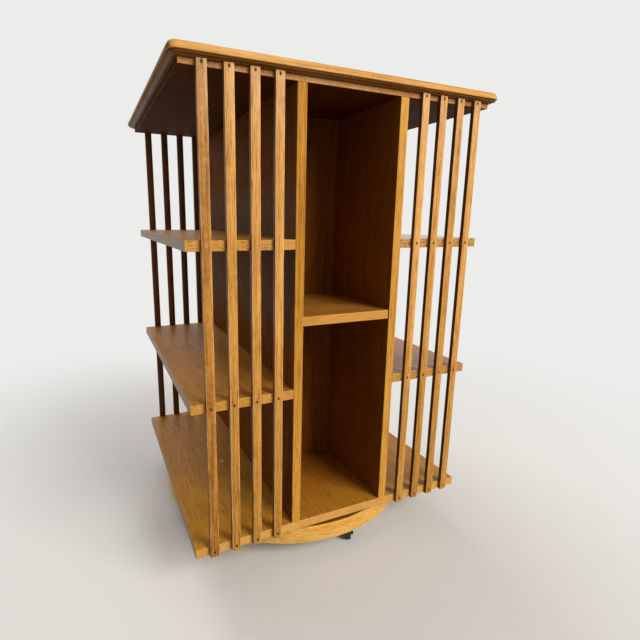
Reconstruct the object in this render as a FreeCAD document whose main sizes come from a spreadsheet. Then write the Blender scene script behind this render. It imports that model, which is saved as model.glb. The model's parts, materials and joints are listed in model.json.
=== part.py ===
import FreeCAD, Part
import math
import os
import Sketcher

# A floor-standing revolving bookcase in oak.
# Millimetres, +Z up. The origin is on the floor, on the spindle's axis; the open side bays
# face -X and +X, and the slatted sides with the centre bays face -Y and +Y.

document = FreeCAD.newDocument("RevolvingBookcase")
sheet = document.addObject("Spreadsheet::Sheet", "Dims")

dimensions = {
    # the square boards and the clear heights between them; the upper bays take what is left
    "overallHeight": 795,
    "boardWidth": 510,
    "boardThick": 15,
    "bottomThick": 15,
    "subtopThick": 8,
    "lowerBay": 221,
    "middleBay": 217,
    "centreLowerBay": 336,
    "centreShelfSetback": 2,
    # the two upright panels, the walls of the closed core, and the stopped housings
    "centreWidth": 158,
    "panelThick": 15,
    "coreWidth": 124,
    "coreWallThick": 8,
    "housingDepth": 5,
    "housingStop": 12,
    # the slats and the cut brads that hold them
    "slatWidth": 13.5,
    "slatThick": 5,
    "slatInset": 21.5,
    "slatPitch": 35,
    "slatsPerSide": 4,
    "bradWidth": 1.8,
    "bradHeight": 3.6,
    "bradBite": 10,
    # the moulded top
    "topThick": 15,
    "topOverhang": 13.6,
    "topCornerRadius": 14,
    "bandHeight": 4,
    "bandFillet": 1.5,
    "bandInset": 2.2,
    "cavettoReach": 6.4,
    "cavettoRadius": 9,
    "grooveHeight": 1,
    "grooveDepth": 1.2,
    "noseHeight": 1.2,
    "ovoloRadius": 11,
    "ovoloReach": 3.4,
    "ovoloRise": 8,
    "quirkWidth": 0.8,
    "edgeAllowance": 1,
    "cutterMargin": 3,
    # the round base
    "discRadius": 253,
    "discThick": 31,
    "discEdgeChamfer": 2.5,
    # the spindle, its flange, the roller thrust race and the two bushes
    "spindleRadius": 9,
    "journalRadius": 7,
    "threadRadius": 6,
    "flangeThick": 4,
    "flangeMargin": 3,
    "bossRadius": 17,
    "bossHeight": 12,
    "raceThick": 2.2,
    "trackRadius": 46,
    "raceHalfWidth": 8,
    "upperRaceMargin": 10,
    "rollerRadius": 2.6,
    "rollerLength": 10,
    "rollerClearance": 0.2,
    "rollerCount": 12,
    "cageHalfWidth": 7.5,
    "cageThick": 2,
    "pocketGap": 0.3,
    "bushWall": 4,
    "runningClearance": 0.06,
    "bridgeRise": 300,
    "bridgeThick": 15,
    "shoulderGap": 1,
    "nutGap": 0.3,
    "nutCornerRadius": 10.4,
    "nutHeight": 10,
    "threadEnd": 3,
    # the castors
    "castorHeight": 36,
    "castorInset": 36,
    "castorStart": -78,
    "castorHeading": -123,
    "spigotRadius": 4,
    "spigotLength": 18,
    "plateRadius": 16,
    "plateThick": 2,
    "kingpinRadius": 3,
    "rivetRadius": 4.5,
    "rivetThick": 1.5,
    "swivelGap": 0.3,
    "crownRadius": 9.5,
    "crownThick": 2,
    "crownDepth": 5,
    "cheekThick": 1.8,
    "eyeRadius": 5,
    "trail": 14,
    "wheelRadius": 13,
    "wheelWidth": 13,
    "wheelChamfer": 1.2,
    "wheelSideGap": 0.5,
    "axleRadius": 2.5,
    "axleProud": 0.8,
    # countersunk screws
    "screwRadius": 1.8,
    "screwHeadRadius": 3.5,
    "screwHeadHeight": 2,
    "screwLength": 16,
    "flangeScrewCircle": 28,
    "flangeScrewCount": 3,
    "raceScrewEdge": 6,
    "raceScrewCount": 3,
}
for row, (name, value) in enumerate(dimensions.items(), start=1):
    sheet.set(f"A{row}", name)
    sheet.set(f"B{row}", str(value))
    sheet.setAlias(f"B{row}", name)
document.recompute()

# Levels above the floor, and places across the bookcase, as expressions on the sheet
discTop = "Dims.castorHeight + Dims.discThick"
flangeBase = f"{discTop} - Dims.flangeThick"
rollerLevel = f"{discTop} + Dims.raceThick + Dims.rollerClearance + Dims.rollerRadius"
upperRaceBase = f"{rollerLevel} + Dims.rollerRadius + Dims.rollerClearance"
bottomBase = f"{upperRaceBase} + Dims.raceThick"
bottomTop = f"{bottomBase} + Dims.bottomThick"
midShelfBase = f"{bottomTop} + Dims.lowerBay"
upperShelfBase = f"{midShelfBase} + Dims.boardThick + Dims.middleBay"
topBase = "Dims.overallHeight - Dims.topThick"
subtopBase = f"{topBase} - Dims.subtopThick"
centreShelfBase = f"{bottomTop} + Dims.centreLowerBay"
bridgeBase = f"{bottomTop} + Dims.bridgeRise"
boardHalf = "Dims.boardWidth / 2"
panelInner = "Dims.centreWidth / 2"
panelOuter = f"{panelInner} + Dims.panelThick"
coreFace = "Dims.coreWidth / 2"
raceInner = "Dims.trackRadius - Dims.raceHalfWidth"
raceOuter = "Dims.trackRadius + Dims.raceHalfWidth"
flangeRadius = f"{raceOuter} + Dims.flangeMargin"
upperRaceRadius = f"{raceOuter} + Dims.upperRaceMargin"


def valueOf(expression):
    return float(sheet.evalExpression(expression))


def newBody(label, x="0", y="0", z="0", turn="0"):
    body = document.addObject("PartDesign::Body", label)
    body.Label = label
    for axis, place in (("x", x), ("y", y), ("z", z)):
        body.setExpression(f"Placement.Base.{axis}", place)
    body.setExpression("Placement.Rotation.Angle", turn)
    return body


def newSketch(body, name, role, offset="0"):
    sketch = body.newObject("Sketcher::SketchObject", name)
    plane = next(item for item in body.Origin.OriginFeatures if item.Role == role)
    sketch.AttachmentSupport = [(plane, "")]
    sketch.MapMode = "FlatFace"
    sketch.setExpression("AttachmentOffset.Base.z", offset)
    return sketch


def bindPoint(sketch, geometry, vertex, x, y):
    for kind, place in (("DistanceX", x), ("DistanceY", y)):
        constraint = Sketcher.Constraint(kind, -1, 1, geometry, vertex, valueOf(place))
        index = sketch.addConstraint(constraint)
        sketch.setExpression(f"Constraints[{index}]", place)


def bindRadius(sketch, geometry, radius):
    index = sketch.addConstraint(Sketcher.Constraint("Radius", geometry, valueOf(radius)))
    sketch.setExpression(f"Constraints[{index}]", radius)


def drawCircle(sketch, x, y, radius):
    centre = FreeCAD.Vector(valueOf(x), valueOf(y), 0)
    geometry = sketch.addGeometry(Part.Circle(centre, FreeCAD.Vector(0, 0, 1), valueOf(radius)), False)
    bindPoint(sketch, geometry, 3, x, y)
    bindRadius(sketch, geometry, radius)
    return geometry


def arcBetween(start, end, radius, turn):
    # The smaller arc from start to end; turn is 1 for counter-clockwise and -1 for clockwise.
    chord = end - start
    left = FreeCAD.Vector(-chord.y, chord.x, 0).normalize()
    height = math.sqrt(radius ** 2 - chord.Length ** 2 / 4)
    centre = (start + end) / 2 + left * (turn * height)
    first, last = (start, end) if turn > 0 else (end, start)
    circle = Part.Circle(centre, FreeCAD.Vector(0, 0, 1), radius)
    firstAngle = math.atan2(first.y - centre.y, first.x - centre.x)
    lastAngle = math.atan2(last.y - centre.y, last.x - centre.x)
    return Part.ArcOfCircle(circle, firstAngle, lastAngle)


def drawOutline(sketch, steps):
    # A closed outline. Each step is the point that an edge ends at, (x, y) for a straight edge
    # or (x, y, radius, turn) for an arc.
    points = [FreeCAD.Vector(valueOf(step[0]), valueOf(step[1]), 0) for step in steps]
    starts = []
    for index, step in enumerate(steps):
        start = points[index - 1]
        end = points[index]
        if len(step) == 2:
            geometry = sketch.addGeometry(Part.LineSegment(start, end), False)
            starts.append((geometry, 1, 2))
        else:
            geometry = sketch.addGeometry(arcBetween(start, end, valueOf(step[2]), step[3]), False)
            starts.append((geometry, 1, 2) if step[3] > 0 else (geometry, 2, 1))
    for index, step in enumerate(steps):
        geometry, startVertex, endVertex = starts[index]
        following = starts[(index + 1) % len(steps)]
        sketch.addConstraint(
            Sketcher.Constraint("Coincident", geometry, endVertex, following[0], following[1]))
        bindPoint(sketch, geometry, endVertex, step[0], step[1])
        if len(step) == 4:
            bindRadius(sketch, geometry, step[2])


def drawRectangle(sketch, left, right, low, high):
    drawOutline(sketch, [(left, low), (right, low), (right, high), (left, high)])


def pad(body, sketch, length, name="Pad", symmetric=False):
    feature = body.newObject("PartDesign::Pad", name)
    feature.Profile = sketch
    feature.setExpression("Length", length)
    if symmetric:
        feature.SideType = "Symmetric"
    sketch.Visibility = False
    return feature


def pocketThrough(body, sketch, name):
    feature = body.newObject("PartDesign::Pocket", name)
    feature.Profile = sketch
    feature.Type = "ThroughAll"
    feature.SideType = "Symmetric"
    return feature


def revolve(body, sketch, axis, name="Turning"):
    feature = body.newObject("PartDesign::Revolution", name)
    feature.Profile = sketch
    feature.ReferenceAxis = (sketch, [axis])
    feature.Angle = 360
    return feature


def cutWith(label, blank, tool):
    piece = document.addObject("Part::Cut", label)
    piece.Label = label
    piece.Base = blank
    piece.Tool = tool
    return piece


def gather(label, members):
    group = document.addObject("Part::Compound", label)
    group.Label = label
    group.Links = members
    return group


def place(piece, x, y, z):
    for axis, position in (("x", x), ("y", y), ("z", z)):
        piece.setExpression(f"Placement.Base.{axis}", position)


subparts = []


def keep(piece):
    subparts.append(piece)
    return piece


# ---- screws: a group of countersunk screws is one node, and drills its own holes ----

def screwGroup(label, spots, headFace, points):
    # points is 1 where the screws are driven upwards from the head's face, -1 downwards.
    members = []
    for number, (x, y) in enumerate(spots, start=1):
        head = document.addObject("Part::Cone", f"{label}_head_{number}")
        shank = document.addObject("Part::Cylinder", f"{label}_shank_{number}")
        wide, narrow = ("Radius1", "Radius2") if points > 0 else ("Radius2", "Radius1")
        head.setExpression(wide, "Dims.screwHeadRadius")
        head.setExpression(narrow, "Dims.screwRadius")
        head.setExpression("Height", "Dims.screwHeadHeight")
        shank.setExpression("Radius", "Dims.screwRadius")
        shank.setExpression("Height", "Dims.screwLength - Dims.screwHeadHeight")
        if points > 0:
            place(head, x, y, headFace)
            place(shank, x, y, f"{headFace} + Dims.screwHeadHeight")
        else:
            place(head, x, y, f"{headFace} - Dims.screwHeadHeight")
            place(shank, x, y, f"{headFace} - Dims.screwLength")
        members += [head, shank]
    group = document.addObject("Part::MultiFuse", label)
    group.Label = label
    group.Shapes = members
    return keep(group)


def spotsOnCircle(radius, count, start="0", x="0", y="0"):
    step = 360 / valueOf(count)
    spots = []
    for number in range(round(valueOf(count))):
        angle = f"({start} + {number} * {step})"
        spots.append((f"{x} + {radius} * cos({angle})", f"{y} + {radius} * sin({angle})"))
    return spots


# ---- castors: a plate with its spigot and king pin, a swivelling fork with an axle, and a wheel ----

def castorPlate(side, x, y):
    # The spigot is driven up into the round base; the fork turns on the riveted pin below.
    body = newBody(f"castor_plate_{side}", x, y, "Dims.castorHeight")
    sketch = newSketch(body, "PlateSection", "XZ_Plane")
    pinEnd = "-(Dims.plateThick + Dims.swivelGap + Dims.crownThick + Dims.swivelGap)"
    drawOutline(sketch, [
        ("0", "Dims.spigotLength"),
        ("Dims.spigotRadius", "Dims.spigotLength"),
        ("Dims.spigotRadius", "0"),
        ("Dims.plateRadius", "0"),
        ("Dims.plateRadius", "-Dims.plateThick"),
        ("Dims.kingpinRadius", "-Dims.plateThick"),
        ("Dims.kingpinRadius", pinEnd),
        ("Dims.rivetRadius", pinEnd),
        ("Dims.rivetRadius", f"{pinEnd} - Dims.rivetThick"),
        ("0", f"{pinEnd} - Dims.rivetThick"),
    ])
    revolve(body, sketch, "V_Axis")
    return keep(body)


def tangentPoint(outside, centre, radius, side):
    # Where the tangent from an outside point meets a circle; side is 1 for the left of the way there.
    away = centre - outside
    angle = math.atan2(away.y, away.x) + side * math.asin(radius / away.Length)
    reach = math.sqrt(away.Length ** 2 - radius ** 2)
    return outside + FreeCAD.Vector(math.cos(angle), math.sin(angle), 0) * reach


def drawForkSide(sketch):
    # Cheek seen from the side: a flat crown, and two straight edges tangent to the axle's eye.
    crownTop = "-(Dims.plateThick + Dims.swivelGap)"
    axleLevel = "Dims.wheelRadius - Dims.castorHeight"
    rear = FreeCAD.Vector(valueOf("-Dims.crownRadius"), valueOf(crownTop), 0)
    front = FreeCAD.Vector(valueOf("Dims.crownRadius"), valueOf(crownTop), 0)
    heel = rear - FreeCAD.Vector(0, valueOf("Dims.crownDepth"), 0)
    centre = FreeCAD.Vector(valueOf("Dims.trail"), valueOf(axleLevel), 0)
    radius = valueOf("Dims.eyeRadius")
    frontTouch = tangentPoint(front, centre, radius, 1)
    heelTouch = tangentPoint(heel, centre, radius, -1)
    top = sketch.addGeometry(Part.LineSegment(rear, front), False)
    frontEdge = sketch.addGeometry(Part.LineSegment(front, frontTouch), False)
    circle = Part.Circle(centre, FreeCAD.Vector(0, 0, 1), radius)
    heelAngle = math.atan2(heelTouch.y - centre.y, heelTouch.x - centre.x)
    frontAngle = math.atan2(frontTouch.y - centre.y, frontTouch.x - centre.x)
    eye = sketch.addGeometry(Part.ArcOfCircle(circle, heelAngle, frontAngle), False)
    rearEdge = sketch.addGeometry(Part.LineSegment(heelTouch, heel), False)
    heelEdge = sketch.addGeometry(Part.LineSegment(heel, rear), False)
    for joined in ((top, 2, frontEdge, 1), (rearEdge, 2, heelEdge, 1), (heelEdge, 2, top, 1)):
        sketch.addConstraint(Sketcher.Constraint("Coincident", *joined))
    sketch.addConstraint(Sketcher.Constraint("Tangent", frontEdge, 2, eye, 2))
    sketch.addConstraint(Sketcher.Constraint("Tangent", rearEdge, 1, eye, 1))
    bindPoint(sketch, top, 1, "-Dims.crownRadius", crownTop)
    bindPoint(sketch, top, 2, "Dims.crownRadius", crownTop)
    bindPoint(sketch, rearEdge, 2, "-Dims.crownRadius", f"{crownTop} - Dims.crownDepth")
    bindPoint(sketch, eye, 3, "Dims.trail", axleLevel)
    bindRadius(sketch, eye, "Dims.eyeRadius")


slotHalf = "(Dims.wheelWidth / 2 + Dims.wheelSideGap)"
forkWidth = f"(2 * {slotHalf} + 2 * Dims.cheekThick)"


def castorFork(side, x, y):
    body = newBody(f"castor_fork_{side}", x, y, "Dims.castorHeight", "Dims.castorHeading")
    sideSketch = newSketch(body, "CheekOutline", "XZ_Plane")
    drawForkSide(sideSketch)
    pad(body, sideSketch, forkWidth, "Cheeks", symmetric=True)
    slotSketch = newSketch(body, "WheelSlot", "YZ_Plane")
    slotTop = "-(Dims.plateThick + Dims.swivelGap + Dims.crownThick)"
    drawRectangle(slotSketch, f"-{slotHalf}", slotHalf, "-Dims.castorHeight", slotTop)
    pocketThrough(body, slotSketch, "Slot")
    axleSketch = newSketch(body, "AxleHole", "XZ_Plane")
    drawCircle(axleSketch, "Dims.trail", "Dims.wheelRadius - Dims.castorHeight", "Dims.axleRadius")
    pocketThrough(body, axleSketch, "AxleBore")
    pinSketch = newSketch(body, "PinHole", "XY_Plane")
    drawCircle(pinSketch, "0", "0", "Dims.kingpinRadius + Dims.runningClearance")
    pocketThrough(body, pinSketch, "PinBore")
    keep(body)


def castorAxle(side, x, y):
    # A plain pin, a little proud of both cheeks.
    body = newBody(f"castor_axle_{side}", x, y, "Dims.wheelRadius", "Dims.castorHeading")
    sketch = newSketch(body, "AxleSection", "XZ_Plane")
    drawCircle(sketch, "0", "0", "Dims.axleRadius")
    pad(body, sketch, f"{forkWidth} + 2 * Dims.axleProud", "Pin", symmetric=True)
    keep(body)


def castorWheel(side, x, y):
    body = newBody(f"castor_wheel_{side}", x, y, "Dims.wheelRadius", "Dims.castorHeading")
    sketch = newSketch(body, "WheelSection", "YZ_Plane")
    bore = "Dims.axleRadius + Dims.runningClearance"
    face = "Dims.wheelWidth / 2"
    shoulder = "Dims.wheelRadius - Dims.wheelChamfer"
    drawOutline(sketch, [
        (f"-{face}", bore),
        (f"-{face}", shoulder),
        (f"Dims.wheelChamfer - {face}", "Dims.wheelRadius"),
        (f"{face} - Dims.wheelChamfer", "Dims.wheelRadius"),
        (face, shoulder),
        (face, bore),
    ])
    revolve(body, sketch, "H_Axis")
    keep(body)


castorCircle = "(Dims.discRadius - Dims.castorInset)"
castorSides = ("front", "right", "back", "left")
castorSpots = spotsOnCircle(castorCircle, str(len(castorSides)), "Dims.castorStart")
castorPlates = []
for side, (spotX, spotY) in zip(castorSides, castorSpots):
    wheelX = f"{spotX} + Dims.trail * cos(Dims.castorHeading)"
    wheelY = f"{spotY} + Dims.trail * sin(Dims.castorHeading)"
    castorPlates.append(castorPlate(side, spotX, spotY))
    castorFork(side, spotX, spotY)
    castorAxle(side, wheelX, wheelY)
    castorWheel(side, wheelX, wheelY)


# ---- the spindle and the flange that holds it, let in flush with the top of the base ----

flangeScrews = screwGroup(
    "flange_screws", spotsOnCircle("Dims.flangeScrewCircle", "Dims.flangeScrewCount"), discTop, -1)
flangeBlank = newBody("spindle_flange_blank", z=flangeBase)
flangeSketch = newSketch(flangeBlank, "FlangeSection", "XZ_Plane")
drawOutline(flangeSketch, [
    ("Dims.spindleRadius", "0"),
    (flangeRadius, "0"),
    (flangeRadius, "Dims.flangeThick"),
    ("Dims.bossRadius", "Dims.flangeThick"),
    ("Dims.bossRadius", "Dims.bossHeight"),
    ("Dims.spindleRadius", "Dims.bossHeight"),
])
revolve(flangeBlank, flangeSketch, "V_Axis")
keep(cutWith("spindle_flange", flangeBlank, flangeScrews))

shoulderLevel = f"({bridgeBase} - Dims.shoulderGap - ({flangeBase}))"
nutLevel = f"({bridgeBase} + Dims.bridgeThick + Dims.nutGap)"
spindle = newBody("spindle", z=flangeBase)
spindleSketch = newSketch(spindle, "SpindleSection", "XZ_Plane")
threadStart = f"({nutLevel} - ({flangeBase}))"
spindleEnd = f"({threadStart} + Dims.nutHeight + Dims.threadEnd)"
drawOutline(spindleSketch, [
    ("0", "0"),
    ("Dims.spindleRadius", "0"),
    ("Dims.spindleRadius", shoulderLevel),
    ("Dims.journalRadius", shoulderLevel),
    ("Dims.journalRadius", threadStart),
    ("Dims.threadRadius", threadStart),
    ("Dims.threadRadius", spindleEnd),
    ("0", spindleEnd),
])
revolve(spindle, spindleSketch, "V_Axis")
keep(spindle)

nutBlank = document.addObject("Part::Prism", "spindle_nut_blank")
nutBlank.Polygon = 6
nutBlank.setExpression("Circumradius", "Dims.nutCornerRadius")
nutBlank.setExpression("Height", "Dims.nutHeight")
place(nutBlank, "0", "0", nutLevel)
keep(cutWith("spindle_nut", nutBlank, spindle))


# ---- the round base, with the seats for the flange, its screws and the castors' spigots ----

discBlank = newBody("base_disc_blank", z="Dims.castorHeight")
discSketch = newSketch(discBlank, "DiscSection", "XZ_Plane")
drawOutline(discSketch, [
    ("0", "0"),
    ("Dims.discRadius - Dims.discEdgeChamfer", "0"),
    ("Dims.discRadius", "Dims.discEdgeChamfer"),
    ("Dims.discRadius", "Dims.discThick - Dims.discEdgeChamfer"),
    ("Dims.discRadius - Dims.discEdgeChamfer", "Dims.discThick"),
    ("0", "Dims.discThick"),
])
revolve(discBlank, discSketch, "V_Axis")
discSeats = gather("base_disc_seats", castorPlates + [flangeScrews, flangeBlank, spindle])
keep(cutWith("base_disc", discBlank, discSeats))


# ---- the roller thrust race between the base and the bottom board ----

def ring(label, level, outerRadius, innerRadius, thick):
    body = newBody(label, z=level)
    sketch = newSketch(body, "RingOutline", "XY_Plane")
    drawCircle(sketch, "0", "0", outerRadius)
    drawCircle(sketch, "0", "0", innerRadius)
    pad(body, sketch, thick)
    return body


keep(ring("lower_race", discTop, raceOuter, raceInner, "Dims.raceThick"))
raceScrewCircle = f"({upperRaceRadius} - Dims.raceScrewEdge)"
raceScrews = screwGroup(
    "race_screws", spotsOnCircle(raceScrewCircle, "Dims.raceScrewCount"), upperRaceBase, 1)
upperRaceBlank = ring("upper_race_blank", upperRaceBase, upperRaceRadius, raceInner, "Dims.raceThick")
keep(cutWith("upper_race", upperRaceBlank, raceScrews))

cage = ring(
    "roller_cage", f"{rollerLevel} - Dims.cageThick / 2", "Dims.trackRadius + Dims.cageHalfWidth",
    "Dims.trackRadius - Dims.cageHalfWidth", "Dims.cageThick")
pocketSketch = newSketch(cage, "RollerOutline", "XY_Plane")
pocketReach = "(Dims.rollerLength / 2 + Dims.pocketGap)"
pocketHalf = "(Dims.rollerRadius + Dims.pocketGap)"
drawRectangle(
    pocketSketch, f"Dims.trackRadius - {pocketReach}", f"Dims.trackRadius + {pocketReach}",
    f"-{pocketHalf}", pocketHalf)
rollerPocket = pocketThrough(cage, pocketSketch, "RollerPocket")
rollerPockets = cage.newObject("PartDesign::PolarPattern", "RollerPockets")
rollerPockets.Originals = [rollerPocket]
rollerPockets.Axis = (pocketSketch, ["N_Axis"])
rollerPockets.Angle = 360
rollerPockets.setExpression("Occurrences", "Dims.rollerCount")
cage.Tip = rollerPockets
keep(cage)

rollers = []
rollerInnerEnd = "(Dims.trackRadius - Dims.rollerLength / 2)"
rollerStep = "360 / Dims.rollerCount"
rollerSpots = spotsOnCircle(rollerInnerEnd, "Dims.rollerCount", f"{rollerStep} - 180")
for number, (spotX, spotY) in enumerate(rollerSpots, start=1):
    roller = document.addObject("Part::Cylinder", f"bearing_roller_{number}")
    roller.setExpression("Radius", "Dims.rollerRadius")
    roller.setExpression("Height", "Dims.rollerLength")
    roller.setExpression("Placement.Rotation.Yaw", f"{number} * {rollerStep} - 180")
    roller.setExpression("Placement.Rotation.Pitch", "90")
    place(roller, spotX, spotY, rollerLevel)
    rollers.append(roller)
keep(gather("bearing_rollers", rollers))


# ---- the two bushes that guide the bookcase on the spindle ----

def bush(label, level, journal, length):
    keep(ring(label, level, f"{journal} + Dims.bushWall", f"{journal} + Dims.runningClearance", length))


bush("lower_bush", bottomBase, "Dims.spindleRadius", "Dims.bottomThick")
bush("upper_bush", bridgeBase, "Dims.journalRadius", "Dims.bridgeThick")


# ---- slats, and the cut brads that pin each one to four boards ----

faces = {"front": -1, "back": 1}
slatBase = bottomBase
slatLength = f"({topBase} - ({bottomBase}))"
bradLevels = [
    f"{bottomBase} + Dims.bottomThick / 2",
    f"{midShelfBase} + Dims.boardThick / 2",
    f"{upperShelfBase} + Dims.boardThick / 2",
    f"{subtopBase} + Dims.subtopThick / 2",
]


def slatCentres():
    # Slats are counted from -X to +X: one row near each corner, none across the centre bay.
    count = round(valueOf("Dims.slatsPerSide"))
    outermost = f"({boardHalf} - Dims.slatInset - Dims.slatWidth / 2)"
    left = [f"-{outermost} + {index} * Dims.slatPitch" for index in range(count)]
    right = [f"{outermost} - {index} * Dims.slatPitch" for index in reversed(range(count))]
    return left + right


brads = []
for face, sign in faces.items():
    for number, centre in enumerate(slatCentres(), start=1):
        for level, height in enumerate(bradLevels, start=1):
            brad = document.addObject("Part::Box", f"brad_{face}_{number}_{level}")
            brad.setExpression("Length", "Dims.bradWidth")
            brad.setExpression("Width", "Dims.slatThick + Dims.bradBite")
            brad.setExpression("Height", "Dims.bradHeight")
            outer = f"({boardHalf} + Dims.slatThick)"
            near = f"-{outer}" if sign < 0 else f"{boardHalf} - Dims.bradBite"
            place(brad, f"{centre} - Dims.bradWidth / 2", near, f"{height} - Dims.bradHeight / 2")
            brads.append(brad)
slatBrads = keep(gather("slat_brads", brads))


def slat(face, sign, number, centre):
    near = f"-({boardHalf} + Dims.slatThick)" if sign < 0 else boardHalf
    blank = newBody(f"{face}_slat_{number}_blank", centre, near, slatBase)
    sketch = newSketch(blank, "SlatSection", "XY_Plane")
    drawRectangle(sketch, "-Dims.slatWidth / 2", "Dims.slatWidth / 2", "0", "Dims.slatThick")
    pad(blank, sketch, slatLength)
    keep(cutWith(f"{face}_slat_{number}", blank, slatBrads))


for face, sign in faces.items():
    for number, centre in enumerate(slatCentres(), start=1):
        slat(face, sign, number, centre)


# ---- boards: the bottom board, the shelves, the bearing bridge and the board under the top ----

def squareBoard(label, level, thick, holeRadius=None):
    blank = newBody(f"{label}_blank", z=level)
    sketch = newSketch(blank, "BoardOutline", "XY_Plane")
    drawRectangle(sketch, f"-{boardHalf}", boardHalf, f"-{boardHalf}", boardHalf)
    if holeRadius:
        drawCircle(sketch, "0", "0", holeRadius)
    pad(blank, sketch, thick)
    return blank


bottomHoles = gather("bottom_board_holes", [slatBrads, raceScrews])
bottomBlank = squareBoard(
    "bottom_board", bottomBase, "Dims.bottomThick", "Dims.spindleRadius + Dims.bushWall")
keep(cutWith("bottom_board", bottomBlank, bottomHoles))
keep(cutWith("subtop_board", squareBoard("subtop_board", subtopBase, "Dims.subtopThick"), slatBrads))


def sideShelf(label, sign, level):
    # A shelf from the open side to the panel, with a tongue that stops short of both slatted faces.
    blank = newBody(f"{label}_blank", z=level)
    sketch = newSketch(blank, "ShelfOutline", "XY_Plane")
    mark = "-" if sign < 0 else ""
    edge = f"{mark}({boardHalf})"
    panelFace = f"{mark}({panelOuter})"
    tongue = f"{mark}({panelOuter} - Dims.housingDepth)"
    stop = f"({boardHalf} - Dims.housingStop)"
    drawOutline(sketch, [
        (edge, f"-{boardHalf}"),
        (panelFace, f"-{boardHalf}"),
        (panelFace, f"-{stop}"),
        (tongue, f"-{stop}"),
        (tongue, stop),
        (panelFace, stop),
        (panelFace, boardHalf),
        (edge, boardHalf),
    ])
    pad(blank, sketch, "Dims.boardThick")
    return keep(cutWith(label, blank, slatBrads))


def centreShelf(label, sign, level):
    # A shelf between the panels, from just behind their front edges to the core's wall.
    body = newBody(label, z=level)
    sketch = newSketch(body, "ShelfOutline", "XY_Plane")
    mark = "-" if sign < 0 else ""
    edge = f"{mark}({boardHalf} - Dims.centreShelfSetback)"
    stop = f"{mark}({boardHalf} - Dims.housingStop)"
    wall = f"{mark}({coreFace})"
    tongue = f"({panelInner} + Dims.housingDepth)"
    drawOutline(sketch, [
        (f"-{panelInner}", edge),
        (panelInner, edge),
        (panelInner, stop),
        (tongue, stop),
        (tongue, wall),
        (f"-{tongue}", wall),
        (f"-{tongue}", stop),
        (f"-{panelInner}", stop),
    ])
    pad(body, sketch, "Dims.boardThick")
    return keep(body)


sideShelves = {}
for side, sign in (("left", -1), ("right", 1)):
    sideShelves[side] = [
        sideShelf(f"{side}_mid_shelf", sign, midShelfBase),
        sideShelf(f"{side}_upper_shelf", sign, upperShelfBase),
    ]
centreShelves = [
    centreShelf(f"{face}_centre_shelf", sign, centreShelfBase) for face, sign in faces.items()]

bridge = newBody("bearing_bridge", z=bridgeBase)
bridgeSketch = newSketch(bridge, "BridgeOutline", "XY_Plane")
bridgeEnd = f"({panelInner} + Dims.housingDepth)"
bridgeHalf = f"({coreFace} - Dims.coreWallThick)"
drawRectangle(bridgeSketch, f"-{bridgeEnd}", bridgeEnd, f"-{bridgeHalf}", bridgeHalf)
drawCircle(bridgeSketch, "0", "0", "Dims.journalRadius + Dims.bushWall")
pad(bridge, bridgeSketch, "Dims.bridgeThick")
keep(bridge)


# ---- uprights: the two panels and the two walls of the closed core ----

uprightLength = f"({subtopBase} - ({bottomTop}))"


def panel(side, sign):
    blank = newBody(f"{side}_panel_blank", z=bottomTop)
    sketch = newSketch(blank, "PanelSection", "XY_Plane")
    mark = "-" if sign < 0 else ""
    drawRectangle(sketch, f"{mark}({panelInner})", f"{mark}({panelOuter})", f"-{boardHalf}", boardHalf)
    pad(blank, sketch, uprightLength)
    housed = gather(f"{side}_panel_housings", sideShelves[side] + centreShelves + [bridge])
    keep(cutWith(f"{side}_panel", blank, housed))


def coreWall(face, sign):
    body = newBody(f"core_wall_{face}", z=bottomTop)
    sketch = newSketch(body, "WallSection", "XY_Plane")
    mark = "-" if sign < 0 else ""
    inner = f"{mark}({coreFace} - Dims.coreWallThick)"
    drawRectangle(sketch, f"-{panelInner}", panelInner, inner, f"{mark}({coreFace})")
    pad(body, sketch, uprightLength)
    keep(body)


panel("left", -1)
panel("right", 1)
for face, sign in faces.items():
    coreWall(face, sign)


# ---- the moulded top: a square slab, its edge run with a cutter that follows the outline ----

topBoard = newBody("top_board", z=topBase)
topHalf = f"({boardHalf} + Dims.topOverhang)"
slabHalf = f"({topHalf} + Dims.edgeAllowance)"
slabCorner = "(Dims.topCornerRadius + Dims.edgeAllowance)"
slabFlat = f"({slabHalf} - {slabCorner})"
slabSketch = newSketch(topBoard, "SlabOutline", "XY_Plane")
drawOutline(slabSketch, [
    (slabHalf, slabFlat),
    (slabFlat, slabHalf, slabCorner, 1),
    (f"-{slabFlat}", slabHalf),
    (f"-{slabHalf}", slabFlat, slabCorner, 1),
    (f"-{slabHalf}", f"-{slabFlat}"),
    (f"-{slabFlat}", f"-{slabHalf}", slabCorner, 1),
    (slabFlat, f"-{slabHalf}"),
    (slabHalf, f"-{slabFlat}", slabCorner, 1),
    (slabHalf, "0"),
])
pad(topBoard, slabSketch, "Dims.topThick", "Slab")
cutterSketch = newSketch(topBoard, "EdgeProfile", "XZ_Plane")
cutterOuter = f"{slabHalf} + Dims.cutterMargin"
grooveTop = "Dims.bandHeight + Dims.grooveHeight"
noseTop = f"{grooveTop} + Dims.noseHeight"
ovoloTop = f"{noseTop} + Dims.ovoloRise"
quirkBack = f"{topHalf} - Dims.ovoloReach - Dims.quirkWidth"
bandFace = f"{topHalf} - Dims.bandInset"
bandFoot = f"{bandFace} - Dims.cavettoReach"
grooveBack = f"{bandFace} - Dims.grooveDepth"
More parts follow.
